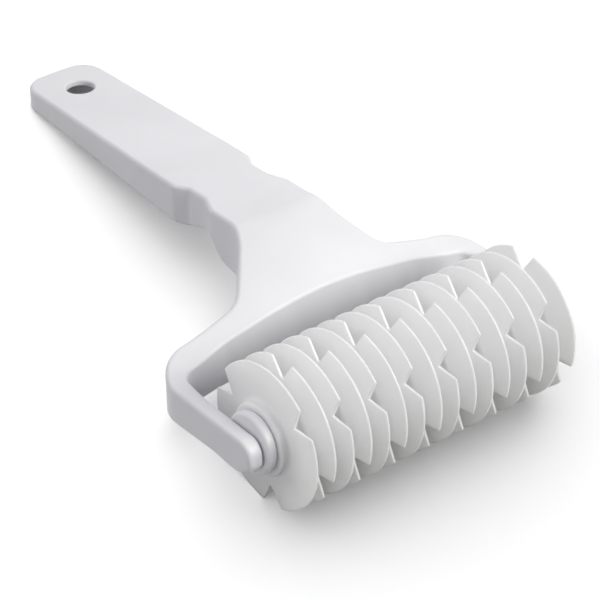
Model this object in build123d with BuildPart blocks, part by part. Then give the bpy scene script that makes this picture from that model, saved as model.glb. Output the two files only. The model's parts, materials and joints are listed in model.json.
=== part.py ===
"""Lattice roller cutter: sixteen notched blade discs on a keyed shaft, in a one-piece moulded frame.

The pieces are modelled with the axle along X through the origin, the handle level and pointing to +Y.
They are then set down together as the tool lies on a table, on its blades and the end of its handle.
"""

import math
import os

from build123d import *

os.makedirs("parts", exist_ok=True)

# Blade discs
DISC_COUNT = 16
DISC_PITCH = 6.35
BLADE_RADIUS = 22.3
BLADES_PER_DISC = 3
RIM_THICKNESS = 0.6
ROOT_THICKNESS = 1.0
ROOT_ROUNDING = 1.2
NOTCH_APEX_RADIUS = 15.8
NOTCH_HALF_ANGLE = 11.1
NOTCH_ABOVE_FRONT = 31.1
HUB_RADIUS = 11.0
HUB_ROUNDING = 0.9
HUB_GAP = 0.05
# Play in the keyed bores lets these discs sit a few degrees off the even stagger
DISC_PLAY = {1: 4.8, 7: -1.4}

# Shaft and end collars
SHAFT_FLATS = 10.0
BORE_PLAY = 0.25
SHAFT_HALF_LENGTH = 53.0
JOURNAL_RADIUS = 2.95
JOURNAL_HALF_LENGTH = 57.2
JOURNAL_CHAMFER = 0.6
COLLAR_RADIUS = 9.4
COLLAR_END = 53.9
COLLAR_ROUNDING = 1.0
COLLAR_FIT = 0.05

# Frame seen from above, right half
HANDLE_END = 172.1
HANDLE_END_HALF = 13.0
HANDLE_CORNER = 7.5
GRIP_FRONT = 96.0
GRIP_HALF = 14.6
REST_BACK = 87.4
REST_FLOOR_BACK = 83.0
REST_FLOOR_FRONT = 75.2
REST_FRONT = 68.6
REST_HALF = 12.05
REST_CORNER = 3.0
NECK_FRONT = 54.8
NECK_HALF = 14.65
NECK_FLARE = 15.0
FLARE_END = (26.6, 41.0)
FLARE_RADIUS = 9.0
SHOULDER_END = 39.0
SHOULDER_CORNER = 13.0
ARM_OUTER = 59.3
ARM_INNER = 54.2
ARM_TAPER_FRONT = 18.0
ARM_TAPER_BEND = 30.0
ARM_ROOT = (52.8, 30.9)
ARM_ROOT_CORNER = 4.0
BAY_BACK = 33.5
BAY_BACK_HALF = 37.0
BAY_BEND = 40.0

# Frame seen from the side
HANDLE_TOP = 29.5
CROWN_RADIUS = 240.0
# Heights that draw the yoke's curved slope: at its ends, half way out and in its middle
SLOPE_FRONT = (33.3, (9.0, 0.5, 32.4))
SLOPE_BACK = (45.0, (15.2, -0.2, 57.6))
SLOPE_REACH = 63.0
SLOPE_WALL = 2.4
BEND_RADIUS = 9.0
FOOT_RADIUS = 8.0
ARM_ROOT_TOP = (30.0, 6.1)
TIP_FRONT = -7.5
TIP_TOP = 4.9
TIP_RADIUS = 5.1
TIP_UNDERSIDE = (2.0, -5.5)
TIP_CHIN = 0.4
ARM_UNDERSIDE = (9.0, -4.7)
YOKE_BACK_FOOT = 41.0
YOKE_BACK_CORNER = 3.0
NECK_UNDERSIDE = 12.9
NECK_UNDERSIDE_FRONT = 49.5
NECK_UNDERSIDE_BACK = 57.8
FINGER_ARCH_RADIUS = 12.0
FINGER_ARCH_TOP = 21.0
FINGER_STOP = (83.5, 16.2)
FINGER_STOP_RADIUS = 4.0
GRIP_UNDERSIDE = (91.5, 17.4)
GRIP_BEND = 10.0
HEEL = 23.1
EDGE_ROUNDING = 1.3

# Hollow underside, axle sockets with their lead-in grooves, hanging hole
WALL = 2.0
HOLLOW_FRONT = 26.0
SOCKET_RADIUS = 3.0
SOCKET_BOTTOM = 57.5
LEAD_IN_BOTTOM = 55.6
HOLE_Y = 157.4
HOLE_RADIUS = 4.6
HOLE_ROUNDING = 0.6

# Reach of the cutting shapes past the frame
CLEAR = 30.0


def frame_plan():
    """The frame's outline from above, with the finger rests and the roller's bay."""
    past_tip = TIP_FRONT - TIP_RADIUS
    with BuildSketch() as plan:
        with BuildLine():
            FilletPolyline(
                (0, HANDLE_END),
                (HANDLE_END_HALF, HANDLE_END),
                (GRIP_HALF, GRIP_FRONT),
                (GRIP_HALF, REST_BACK),
                (REST_HALF, REST_FLOOR_BACK),
                (REST_HALF, REST_FLOOR_FRONT),
                (NECK_HALF, REST_FRONT),
                (NECK_HALF, NECK_FRONT),
                FLARE_END,
                (ARM_OUTER, SHOULDER_END),
                (ARM_OUTER, past_tip),
                (ARM_INNER, past_tip),
                (ARM_INNER, ARM_TAPER_FRONT),
                ARM_ROOT,
                (BAY_BACK_HALF, BAY_BACK),
                (0, BAY_BACK),
                radius=[
                    HANDLE_CORNER,
                    0,
                    REST_CORNER,
                    REST_CORNER,
                    REST_CORNER,
                    REST_CORNER,
                    NECK_FLARE,
                    FLARE_RADIUS,
                    SHOULDER_CORNER,
                    0,
                    0,
                    ARM_TAPER_BEND,
                    ARM_ROOT_CORNER,
                    BAY_BEND,
                ],
            )
            Line((0, BAY_BACK), (0, HANDLE_END))
        make_face()
        mirror(about=Plane.YZ)
    return plan.sketch


def slope_row(y):
    """Points across the yoke that its curved slope is drawn towards, at one distance behind the axle."""
    front_y, front_heights = SLOPE_FRONT
    back_y, back_heights = SLOPE_BACK
    share = (y - front_y) / (back_y - front_y)
    end, half_way, middle = (low + share * (high - low) for low, high in zip(front_heights, back_heights))
    return [
        (-SLOPE_REACH, y, end),
        (-SLOPE_REACH / 2, y, half_way),
        (0, y, middle),
        (SLOPE_REACH / 2, y, half_way),
        (SLOPE_REACH, y, end),
    ]


def above_yoke(skin, slope_skin):
    """What is cut away above the yoke's slope, and above and ahead of the arms."""
    slope = Face.make_bezier_surface([slope_row(-2 * CLEAR), slope_row(3 * CLEAR)])
    arm_top = TIP_TOP - skin
    arm_rise = (ARM_ROOT_TOP[1] - TIP_TOP) / (ARM_ROOT_TOP[0] - TIP_FRONT)
    arm_top_back = arm_top + arm_rise * (HANDLE_END - TIP_FRONT)
    with BuildPart() as above:
        extrude(to_extrude=Pos(0, 0, -slope_skin) * slope, amount=9 * CLEAR, dir=(0, 0, 1))
        with BuildSketch(Plane.YZ):
            with BuildLine():
                FilletPolyline(
                    (TIP_FRONT, -3 * CLEAR),
                    (TIP_FRONT, arm_top),
                    (HANDLE_END, arm_top_back),
                    radius=TIP_RADIUS,
                )
                Polyline(
                    (HANDLE_END, arm_top_back),
                    (HANDLE_END, 2 * CLEAR),
                    (-CLEAR, 2 * CLEAR),
                    (-CLEAR, -3 * CLEAR),
                    (TIP_FRONT, -3 * CLEAR),
                )
            make_face()
        extrude(amount=2 * ARM_OUTER, both=True, mode=Mode.INTERSECT)
    return above.part


def sloped_block(outline, skin=0.0, slope_skin=0.0):
    """A block of the given plan under the handle's crowned top, its bend and the yoke's slope, lowered by a skin."""
    with BuildPart() as block:
        with BuildSketch(Plane.XY.offset(-CLEAR / 2)):
            add(outline)
        extrude(amount=HANDLE_TOP + CLEAR)
        with BuildSketch(Plane.XZ):
            with Locations((0, HANDLE_TOP - CROWN_RADIUS)):
                Circle(CROWN_RADIUS - skin)
        extrude(amount=2 * HANDLE_END, both=True, mode=Mode.INTERSECT)
        add(above_yoke(skin, slope_skin), mode=Mode.SUBTRACT)
        crown = block.faces().filter_by(GeomType.CYLINDER).sort_by(SortBy.AREA)[-1]
        fillet(crown.edges().sort_by(Axis.Y)[0], BEND_RADIUS - skin)
    return block.part


def side_outline():
    """The frame's underside from the side: tip, arm, yoke, finger arch and tapered handle."""
    past_end = HANDLE_END + CLEAR
    past_top = HANDLE_TOP + CLEAR
    tip_chin = TIP_FRONT - TIP_CHIN
    heel_slope = (HEEL - GRIP_UNDERSIDE[1]) / (HANDLE_END - GRIP_UNDERSIDE[0])
    arch_drop = NECK_UNDERSIDE + FINGER_ARCH_RADIUS - FINGER_ARCH_TOP
    arch_end = (NECK_UNDERSIDE_BACK + math.sqrt(FINGER_ARCH_RADIUS**2 - arch_drop**2), FINGER_ARCH_TOP)
    with BuildSketch(Plane.YZ) as outline:
        with BuildLine():
            RadiusArc((NECK_UNDERSIDE_BACK, NECK_UNDERSIDE), arch_end, -FINGER_ARCH_RADIUS)
            FilletPolyline(
                arch_end,
                FINGER_STOP,
                GRIP_UNDERSIDE,
                (past_end, HEEL + heel_slope * CLEAR),
                (past_end, past_top),
                (tip_chin, past_top),
                (tip_chin, TIP_UNDERSIDE[1]),
                TIP_UNDERSIDE,
                ARM_UNDERSIDE,
                (YOKE_BACK_FOOT, ARM_UNDERSIDE[1]),
                (NECK_UNDERSIDE_FRONT, NECK_UNDERSIDE),
                (NECK_UNDERSIDE_BACK, NECK_UNDERSIDE),
                radius=[
                    FINGER_STOP_RADIUS,
                    GRIP_BEND,
                    0,
                    0,
                    0,
                    TIP_RADIUS,
                    TIP_RADIUS,
                    TIP_RADIUS,
                    YOKE_BACK_CORNER,
                    YOKE_BACK_CORNER,
                ],
            )
        make_face()
    return outline.sketch


def top_rim(part):
    """Edges where the frame's top surfaces and the fronts of its arms meet its upright sides."""
    tops = part.faces().filter_by(lambda face: face.normal_at().Z > 0.3)
    sides = part.faces().filter_by(lambda face: abs(face.normal_at().Z) < 0.3)
    rim = tops.edges() & sides.edges()
    tip_fronts = part.edges().filter_by(Axis.Z).filter_by_position(Axis.Y, TIP_FRONT - 1, TIP_FRONT + 1)
    return tip_fronts + rim.filter_by_position(Axis.Y, TIP_FRONT + 1, HANDLE_END + 1)


plan = frame_plan()

with BuildSketch() as hollow_plan:
    add(plan)
    offset(amount=-WALL)
    with Locations((0, HOLLOW_FRONT)):
        Rectangle(3 * ARM_OUTER, 2 * HANDLE_END, align=(Align.CENTER, Align.MIN), mode=Mode.INTERSECT)

with BuildPart() as handle_frame:
    add(sloped_block(plan))
    arm_tops = handle_frame.faces().filter_by(GeomType.PLANE).filter_by(lambda face: face.normal_at().Z > 0.9)
    fillet(arm_tops.edges().filter_by(GeomType.BSPLINE), FOOT_RADIUS)
    fillet(top_rim(handle_frame.part), EDGE_ROUNDING)
    extrude(to_extrude=side_outline(), amount=2 * ARM_OUTER, both=True, mode=Mode.INTERSECT)
    add(sloped_block(hollow_plan.sketch, WALL, SLOPE_WALL), mode=Mode.SUBTRACT)
    with BuildSketch(Plane.YZ):
        Circle(SOCKET_RADIUS)
    extrude(amount=SOCKET_BOTTOM, both=True, mode=Mode.SUBTRACT)
    with BuildSketch(Plane.YZ):
        Rectangle(2 * SOCKET_RADIUS, CLEAR, align=(Align.CENTER, Align.MAX))
    extrude(amount=LEAD_IN_BOTTOM, both=True, mode=Mode.SUBTRACT)
    with Locations((0, HOLE_Y, HANDLE_TOP)):
        Hole(HOLE_RADIUS, depth=2 * WALL)
    hole_rim = handle_frame.edges().filter_by(lambda edge: edge.is_closed).sort_by(Axis.Z)[-1]
    fillet(hole_rim, HOLE_ROUNDING)


def blade_disc(number):
    """A thin tapered blade with three V notches, round a hub with a hexagonal bore."""
    hub_half = (DISC_PITCH - HUB_GAP) / 2
    stagger = 0 if number % 2 else 180 / BLADES_PER_DISC
    play = DISC_PLAY.get(number, 0)
    notch_angle = math.radians(NOTCH_HALF_ANGLE)
    notch_reach = 2 * (BLADE_RADIUS * math.cos(notch_angle) - NOTCH_APEX_RADIUS)
    notch_half = 2 * BLADE_RADIUS * math.sin(notch_angle)
    with BuildPart() as disc:
        with BuildSketch():
            with BuildLine():
                FilletPolyline(
                    (0, 0),
                    (hub_half, 0),
                    (hub_half, HUB_RADIUS),
                    (ROOT_THICKNESS / 2, HUB_RADIUS),
                    (RIM_THICKNESS / 2, BLADE_RADIUS),
                    (0, BLADE_RADIUS),
                    radius=[0, HUB_ROUNDING, ROOT_ROUNDING, 0],
                )
                Line((0, BLADE_RADIUS), (0, 0))
            make_face()
            mirror(about=Plane.YZ)
        revolve(axis=Axis.X)
        with BuildSketch(Plane.YZ):
            with PolarLocations(0, BLADES_PER_DISC, 180 - NOTCH_ABOVE_FRONT + stagger - play):
                Polygon(
                    (NOTCH_APEX_RADIUS, 0),
                    (NOTCH_APEX_RADIUS + notch_reach, -notch_half),
                    (NOTCH_APEX_RADIUS + notch_reach, notch_half),
                    align=None,
                )
        extrude(amount=DISC_PITCH, both=True, mode=Mode.SUBTRACT)
        with BuildSketch(Plane.YZ):
            bore_flats = SHAFT_FLATS / 2 + BORE_PLAY
            RegularPolygon(bore_flats, 6, major_radius=False, rotation=-NOTCH_ABOVE_FRONT - play)
        extrude(amount=DISC_PITCH, both=True, mode=Mode.SUBTRACT)
    return Pos((number - (DISC_COUNT + 1) / 2) * DISC_PITCH, 0, 0) * disc.part


with BuildPart() as roller_shaft:
    with BuildSketch(Plane.YZ):
        RegularPolygon(SHAFT_FLATS / 2, 6, major_radius=False, rotation=-NOTCH_ABOVE_FRONT)
    extrude(amount=SHAFT_HALF_LENGTH, both=True)
    with BuildSketch(Plane.YZ):
        Circle(JOURNAL_RADIUS)
    extrude(amount=JOURNAL_HALF_LENGTH, both=True)
    journal_ends = roller_shaft.faces().sort_by(Axis.X)
    chamfer(journal_ends[0].edges() + journal_ends[-1].edges(), JOURNAL_CHAMFER)


def end_collar(side):
    """A rounded ring over the end of the hexagon, its outer web turning with the journal."""
    hub_end = DISC_COUNT / 2 * DISC_PITCH
    with BuildPart() as collar:
        with BuildSketch(Plane.YZ.offset(side * hub_end)):
            Circle(COLLAR_RADIUS)
        extrude(amount=side * (COLLAR_END - hub_end))
        fillet(collar.edges(), COLLAR_ROUNDING)
        with BuildSketch(Plane.YZ):
            RegularPolygon(SHAFT_FLATS / 2 + COLLAR_FIT, 6, major_radius=False, rotation=-NOTCH_ABOVE_FRONT)
        extrude(amount=SHAFT_HALF_LENGTH + COLLAR_FIT, both=True, mode=Mode.SUBTRACT)
        with BuildSketch(Plane.YZ):
            Circle(JOURNAL_RADIUS + COLLAR_FIT)
        extrude(amount=JOURNAL_HALF_LENGTH, both=True, mode=Mode.SUBTRACT)
    return collar.part


pieces = {"handle_frame": handle_frame.part, "roller_shaft": roller_shaft.part}
pieces["left_end_collar"] = end_collar(-1)
pieces["right_end_collar"] = end_collar(1)
for number in range(1, DISC_COUNT + 1):
    pieces[f"blade_disc_{number:02d}"] = blade_disc(number)

# Laid on the table: blades and handle end at height 0, middle of the length over the origin
tilt = math.atan2(HEEL, HANDLE_END) + math.asin(BLADE_RADIUS / math.hypot(HANDLE_END, HEEL))
handle_reach = handle_frame.part.moved(Rot(-math.degrees(tilt), 0, 0)).bounding_box().max.Y
set_down = Location((0, (BLADE_RADIUS - handle_reach) / 2, BLADE_RADIUS), (-math.degrees(tilt), 0, 0))
for name, piece in pieces.items():
    lying = piece.moved(set_down)
    lying.label = name
    export_step(lying, f"parts/{name}.step")
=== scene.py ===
"""Lattice roller cutter: rounded arm ends, finishes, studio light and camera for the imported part."""

import json
import math

import bmesh
import bpy
from mathutils import Euler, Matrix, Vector

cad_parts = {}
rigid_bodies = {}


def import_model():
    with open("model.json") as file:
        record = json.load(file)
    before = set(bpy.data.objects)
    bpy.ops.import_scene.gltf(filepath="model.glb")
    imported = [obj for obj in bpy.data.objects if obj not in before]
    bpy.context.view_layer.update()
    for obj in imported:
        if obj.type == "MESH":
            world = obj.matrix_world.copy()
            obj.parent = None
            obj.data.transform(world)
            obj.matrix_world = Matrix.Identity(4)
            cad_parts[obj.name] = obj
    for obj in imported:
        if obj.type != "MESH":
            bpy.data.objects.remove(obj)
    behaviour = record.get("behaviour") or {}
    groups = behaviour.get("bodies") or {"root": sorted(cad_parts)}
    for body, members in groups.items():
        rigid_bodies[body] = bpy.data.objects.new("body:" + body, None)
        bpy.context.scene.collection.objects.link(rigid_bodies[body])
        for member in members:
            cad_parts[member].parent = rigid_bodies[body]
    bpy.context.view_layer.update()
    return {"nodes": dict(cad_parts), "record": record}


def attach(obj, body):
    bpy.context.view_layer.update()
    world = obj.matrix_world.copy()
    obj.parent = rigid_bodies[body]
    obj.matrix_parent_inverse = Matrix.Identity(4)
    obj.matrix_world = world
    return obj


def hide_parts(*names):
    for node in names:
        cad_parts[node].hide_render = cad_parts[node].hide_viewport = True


for leftover in list(bpy.data.objects):
    bpy.data.objects.remove(leftover)
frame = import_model()

MM = 0.001

# Camera: a long lens on the tool from its front left, turned as the photograph is
LENS_MM = 156.0
SENSOR_MM = 36.0
CAMERA_PLACE_MM = (-398.5, -421.91, 542.38)
CAMERA_TURN_DEG = (45.972, -8.263, -37.653)

# Moulded plastic: the clouds in its colour, its grain, the spread of its sheen, how the light that sinks in
# spreads by colour, and how finely its soft edges are worked
PLASTIC_IOR = 1.49
CLOUD_MM = 28.0
CLOUD_DETAIL = 3.0
CLOUD_ROUGHNESS = 0.55
CLOUD_SPREAD = (0.3, 0.7)
GRAIN_DETAIL = 2.0
GRAIN_ROUGHNESS = 0.6
GRAIN_STRENGTH = 0.35
SHEEN_SPREAD = 0.06
GLOW_REACH = (1.0, 0.98, 0.95)
EDGE_SAMPLES = 8

# The tool's own directions: it lies tilted, and the axis of its hanging hole is square to its arms
across = Vector((1.0, 0.0, 0.0))
upright = Vector(frame["record"]["mounts"][0]["axis"])
along = upright.cross(across)
axle = Vector(frame["record"]["behaviour"]["joints"][0]["pos_m"])

# Ends of the arms, measured from the middle of the axle: they are cut into cells, and their points are
# averaged pass by pass, over less of the end each time. The rounding stops in front of the axle's sockets,
# but reaches further back in the outer skin.
ARM_INNER_MM = 54.2
ARM_OUTER_MM = 59.3
TIP_FRONT_MM = 7.5
TIP_HEIGHTS_MM = (-5.6, 5.2)
TIP_REACH_MM = 4.2
TIP_SKIN_MM = 1.5
TIP_SKIN_REACH_MM = 5.4
TIP_CELL_MM = 0.4
TIP_FACE_CORNERS = 4
TIP_PASSES = 40
TIP_LAST_SHARE = 0.4
TIP_PULL = 0.5
MERGE_MM = 0.001

# Paper floor: its white, the gain that makes it a white ground, and the grey of the light it throws back
FLOOR_HALF_MM = 3000.0
FLOOR_WHITE = "f8f8f8"
FLOOR_GAIN = 1.9
FLOOR_BOUNCE = "b4b4b3"

# White room: it darkens towards one side, between two cosines of the angle to that side
ROOM_COLOUR = "ffffff"
ROOM_DARK_SIDE = (0.32, -0.95, 0.0)
ROOM_DARK_EDGES = (0.0, 0.6)
ROOM_BRIGHT = 0.9
ROOM_DIM = 0.0

# Softbox: a disc above the front right of the tool, faintly warmer than the room
SOFTBOX_SIZE_MM = 600.0
SOFTBOX_PLACE_MM = (380.0, -660.0, 700.0)
SOFTBOX_WATTS = 8.4
SOFTBOX_COLOUR = "fffffa"


def linear(hex_colour):
    """An sRGB hex colour as linear red, green, blue and full alpha."""
    channels = [int(hex_colour[i:i + 2], 16) / 255 for i in (0, 2, 4)]
    return [c / 12.92 if c <= 0.04045 else ((c + 0.055) / 1.055) ** 2.4 for c in channels] + [1.0]


def add_node(tree, kind, values=None, links=None, **settings):
    """A node of that kind, with its settings, its input values and links from other nodes' outputs."""
    made = tree.nodes.new(kind)
    for name, value in settings.items():
        setattr(made, name, value)
    for name, value in (values or {}).items():
        made.inputs[name].default_value = value
    for name, output in (links or {}).items():
        tree.links.new(output, made.inputs[name])
    return made


def per_mm(size_mm):
    """The texture scale that makes one pattern cell that many millimetres wide."""
    return 1.0 / (size_mm * MM)


def moulded_plastic(name, pale, deep, roughness, grain_mm, grain_depth_mm, glow, glow_mm, edge_mm):
    """An injection-moulded plastic: satin, faintly cloudy, with the grain of its mould and softened edges.

    The grain is drawn coarser than the real one, so that it still shows at arm's length. Of the light that
    falls on it, the share in glow sinks in and comes out about glow_mm away.
    """
    material = bpy.data.materials.new(name)
    material.use_nodes = True
    tree = material.node_tree
    shader = tree.nodes["Principled BSDF"]
    place = add_node(tree, "ShaderNodeTexCoord").outputs["Object"]
    cloud = add_node(
        tree,
        "ShaderNodeTexNoise",
        {"Scale": per_mm(CLOUD_MM), "Detail": CLOUD_DETAIL, "Roughness": CLOUD_ROUGHNESS},
        {"Vector": place},
    )
    ramp = add_node(tree, "ShaderNodeValToRGB", links={"Fac": cloud.outputs["Fac"]})
    for stop, position, colour in zip(ramp.color_ramp.elements, CLOUD_SPREAD, (deep, pale)):
        stop.position = position
        stop.color = linear(colour)
    grain = add_node(
        tree,
        "ShaderNodeTexNoise",
        {"Scale": per_mm(grain_mm), "Detail": GRAIN_DETAIL, "Roughness": GRAIN_ROUGHNESS},
        {"Vector": place},
    )
    sheen = add_node(
        tree,
        "ShaderNodeMapRange",
        {"To Min": roughness - SHEEN_SPREAD, "To Max": roughness + SHEEN_SPREAD},
        {"Value": grain.outputs["Fac"]},
    )
    edge = add_node(tree, "ShaderNodeBevel", {"Radius": edge_mm * MM}, samples=EDGE_SAMPLES)
    bump = add_node(
        tree,
        "ShaderNodeBump",
        {"Strength": GRAIN_STRENGTH, "Distance": grain_depth_mm * MM},
        {"Height": grain.outputs["Fac"], "Normal": edge.outputs["Normal"]},
    )
    tree.links.new(ramp.outputs["Color"], shader.inputs["Base Color"])
    tree.links.new(sheen.outputs["Result"], shader.inputs["Roughness"])
    tree.links.new(bump.outputs["Normal"], shader.inputs["Normal"])
    shader.inputs["IOR"].default_value = PLASTIC_IOR
    shader.inputs["Subsurface Weight"].default_value = glow
    shader.inputs["Subsurface Radius"].default_value = GLOW_REACH
    shader.inputs["Subsurface Scale"].default_value = glow_mm * MM
    return material


def merged_copy(node):
    """A node's mesh as one joined shape, with its exact normals in a layer of their own."""
    solid = frame["nodes"][node].data
    shape = bmesh.new()
    shape.from_mesh(solid)
    exact = shape.loops.layers.float_vector.new("exact_normal")
    for face in shape.faces:
        for corner in face.loops:
            corner[exact] = solid.corner_normals[corner.index].vector
    bmesh.ops.remove_doubles(shape, verts=shape.verts, dist=MERGE_MM * MM)
    return shape


def at_tip(point, share=1.0):
    """Whether a point is in the rounded end of an arm, or in the front share of that end."""
    in_skin = abs(point.x) > (ARM_OUTER_MM - TIP_SKIN_MM) * MM
    reach_mm = TIP_SKIN_REACH_MM if in_skin else TIP_REACH_MM
    return (point - axle).dot(along) < (share * reach_mm - TIP_FRONT_MM) * MM


def cells(start_mm, end_mm):
    """Places between two others, a cell apart, in metres."""
    count = round((end_mm - start_mm) / TIP_CELL_MM)
    return [(start_mm + TIP_CELL_MM * step) * MM for step in range(1, count)]


def cut_arm_tips(shape):
    """Cuts the surface of the arms' ends into cells, so that it can be bent."""
    back_mm = TIP_SKIN_REACH_MM + TIP_CELL_MM - TIP_FRONT_MM
    cuts = [(along, place) for place in cells(-TIP_FRONT_MM, back_mm)]
    cuts += [(upright, place) for place in cells(*TIP_HEIGHTS_MM)]
    cuts += [(side * across, place) for place in cells(ARM_INNER_MM, ARM_OUTER_MM) for side in (-1, 1)]
    faces = [face for face in shape.faces if any(at_tip(vert.co) for vert in face.verts)]
    edges = dict.fromkeys(edge for face in faces for edge in face.edges)
    verts = dict.fromkeys(vert for face in faces for vert in face.verts)
    tips = [*faces, *edges, *verts]
    for direction, place in cuts:
        plane = {"plane_co": axle + direction * place, "plane_no": direction}
        tips = bmesh.ops.bisect_plane(shape, geom=tips, dist=MERGE_MM * MM, **plane)["geom"]
    many_sided = [face for face in shape.faces if len(face.verts) > TIP_FACE_CORNERS]
    bmesh.ops.triangulate(shape, faces=many_sided)


def round_arm_tips(shape):
    """Rounds the arms' ends as their mould leaves them, and returns the points that it moved."""
    every_way = {"use_axis_x": True, "use_axis_y": True, "use_axis_z": True}
    moved = set()
    for turn in range(TIP_PASSES):
        share = 1.0 + (TIP_LAST_SHARE - 1.0) * turn / TIP_PASSES
        verts = [vert for vert in shape.verts if at_tip(vert.co, share)]
        bmesh.ops.smooth_vert(shape, verts=verts, factor=TIP_PULL, **every_way)
        moved.update(verts)
    return moved


def handle_moulding(finish):
    """The frame with rounded arm ends, which stands for the CAD node and keeps its shading elsewhere."""
    shape = merged_copy("handle_frame")
    cut_arm_tips(shape)
    moved = round_arm_tips(shape)
    shape.normal_update()
    exact = shape.loops.layers.float_vector["exact_normal"]
    normals = []
    for face in shape.faces:
        face.smooth = True
        for corner in face.loops:
            normal = corner.vert.normal if corner.vert in moved else corner[exact]
            normals.append(normal.copy())
    mesh = bpy.data.meshes.new("handle_moulding")
    shape.to_mesh(mesh)
    shape.free()
    mesh.normals_split_custom_set(normals)
    mesh.attributes.remove(mesh.attributes["exact_normal"])
    mesh.materials.append(finish)
    moulding = bpy.data.objects.new("handle_moulding", mesh)
    bpy.context.scene.collection.objects.link(moulding)
    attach(moulding, "frame")
    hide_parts("handle_frame")
    return moulding


def dress(names, material):
    """Gives CAD nodes their finish."""
    for name in names:
        slots = frame["nodes"][name].data.materials
        slots.clear()
        slots.append(material)


def paper_finish():
    """Matt paper that is white to the eye and in mirrors, and grey in the light that it throws back."""
    material = bpy.data.materials.new("matt_paper_sweep")
    material.use_nodes = True
    tree = material.node_tree
    tree.nodes.clear()
    ray = add_node(tree, "ShaderNodeLightPath").outputs
    mirrored = add_node(
        tree,
        "ShaderNodeMath",
        links={0: ray["Is Camera Ray"], 1: ray["Is Glossy Ray"]},
        operation="ADD",
        use_clamp=True,
    )
    seen = add_node(
        tree,
        "ShaderNodeMath",
        links={0: mirrored.outputs[0], 1: ray["Is Transmission Ray"]},
        operation="ADD",
        use_clamp=True,
    )
    paper_white = [FLOOR_GAIN * channel for channel in linear(FLOOR_WHITE)]
    shade = add_node(
        tree,
        "ShaderNodeMixRGB",
        {"Color1": linear(FLOOR_BOUNCE), "Color2": paper_white},
        {"Fac": seen.outputs[0]},
    )
    paper = add_node(tree, "ShaderNodeBsdfDiffuse", links={"Color": shade.outputs["Color"]})
    add_node(tree, "ShaderNodeOutputMaterial", links={"Surface": paper.outputs["BSDF"]})
    return material


def studio_floor():
    """A wide sheet of paper under the tool, which keeps its shadow."""
    mesh = bpy.data.meshes.new("studio_floor")
    sheet = bmesh.new()
    bmesh.ops.create_grid(sheet, x_segments=1, y_segments=1, size=FLOOR_HALF_MM * MM)
    sheet.to_mesh(mesh)
    sheet.free()
    mesh.materials.append(paper_finish())
    floor = bpy.data.objects.new("studio_floor", mesh)
    bpy.context.scene.collection.objects.link(floor)


def white_room():
    """Even light from all round the tool, apart from a dark front right, where the shadow falls."""
    world = bpy.data.worlds.new("white_room")
    world.use_nodes = True
    tree = world.node_tree
    outward = add_node(tree, "ShaderNodeTexCoord").outputs["Generated"]
    towards_dark = add_node(
        tree,
        "ShaderNodeVectorMath",
        {1: ROOM_DARK_SIDE},
        {0: outward},
        operation="DOT_PRODUCT",
    )
    dark_from, dark_to = ROOM_DARK_EDGES
    strength = add_node(
        tree,
        "ShaderNodeMapRange",
        {"From Min": dark_from, "From Max": dark_to, "To Min": ROOM_BRIGHT, "To Max": ROOM_DIM},
        {"Value": towards_dark.outputs["Value"]},
    )
    background = tree.nodes["Background"]
    background.inputs["Color"].default_value = linear(ROOM_COLOUR)
    tree.links.new(strength.outputs["Result"], background.inputs["Strength"])
    bpy.context.scene.world = world


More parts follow.
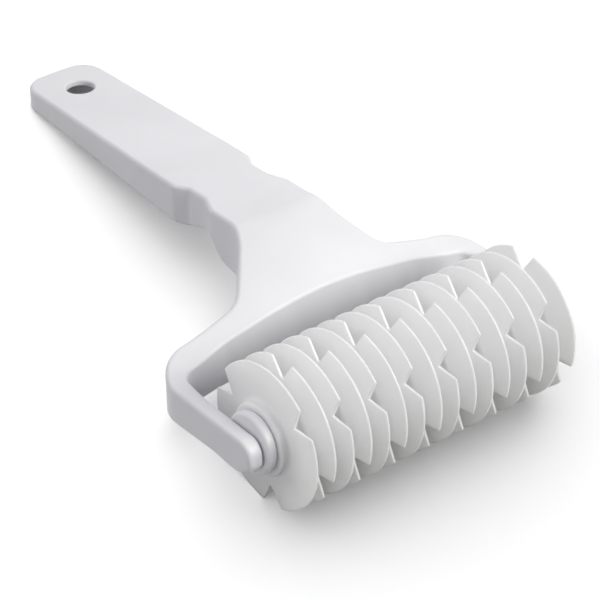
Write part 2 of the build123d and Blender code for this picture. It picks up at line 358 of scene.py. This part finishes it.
def softbox(pieces):
    """One large lamp on the blades and the yoke, which lights these pieces and leaves out the floor."""
    lamp = bpy.data.lights.new("softbox", "AREA")
    lamp.shape = "DISK"
    lamp.size = SOFTBOX_SIZE_MM * MM
    lamp.energy = SOFTBOX_WATTS
    lamp.color = linear(SOFTBOX_COLOUR)[:3]
    stand = bpy.data.objects.new("softbox", lamp)
    stand.location = Vector(SOFTBOX_PLACE_MM) * MM
    stand.rotation_mode = "QUATERNION"
    stand.rotation_quaternion = (-stand.location).to_track_quat("-Z", "Y")
    bpy.context.scene.collection.objects.link(stand)
    lit = bpy.data.collections.new("lit_by_softbox")
    for piece in pieces:
        lit.objects.link(piece)
    stand.light_linking.receiver_collection = lit


def photo_camera():
    """The photograph's view of the tool."""
    lens = bpy.data.cameras.new("photo_camera")
    lens.sensor_width = SENSOR_MM
    lens.lens = LENS_MM
    camera = bpy.data.objects.new("photo_camera", lens)
    camera.location = Vector(CAMERA_PLACE_MM) * MM
    camera.rotation_euler = Euler([math.radians(angle) for angle in CAMERA_TURN_DEG])
    bpy.context.scene.collection.objects.link(camera)
    bpy.context.scene.camera = camera


# Spark-eroded polypropylene: a cool, opaque white whose fine grain breaks up every reflection
frame_white = moulded_plastic(
    "spark_eroded_polypropylene",
    pale="e2e1e6",
    deep="dcdbe0",
    roughness=0.42,
    grain_mm=0.6,
    grain_depth_mm=0.02,
    glow=0.1,
    glow_mm=1.0,
    edge_mm=0.6,
)
# Smooth polypropylene, thin enough to let light through: the gaps between the blades glow softly
blade_white = moulded_plastic(
    "translucent_polypropylene",
    pale="f4f4f6",
    deep="f1f1f3",
    roughness=0.34,
    grain_mm=0.9,
    grain_depth_mm=0.006,
    glow=0.9,
    glow_mm=3.0,
    edge_mm=0.5,
)
# The same plastic in a thicker section, nearly opaque: the steps of the collars keep their shading
collar_white = moulded_plastic(
    "thick_polypropylene",
    pale="ecebf0",
    deep="e8e7ec",
    roughness=0.36,
    grain_mm=0.9,
    grain_depth_mm=0.006,
    glow=0.15,
    glow_mm=1.0,
    edge_mm=0.4,
)
# Acetal: a denser and slightly warmer white with a slick sheen, for the axle
axle_white = moulded_plastic(
    "natural_acetal",
    pale="e6e4de",
    deep="e0ded8",
    roughness=0.28,
    grain_mm=1.2,
    grain_depth_mm=0.004,
    glow=0.3,
    glow_mm=0.8,
    edge_mm=0.3,
)
dress([name for name in frame["nodes"] if name.startswith("blade_disc")], blade_white)
dress(["left_end_collar", "right_end_collar"], collar_white)
dress(["roller_shaft"], axle_white)
moulding = handle_moulding(frame_white)

studio_floor()
white_room()
softbox([*frame["nodes"].values(), moulding])
photo_camera()
bpy.context.scene.view_settings.view_transform = "Standard"
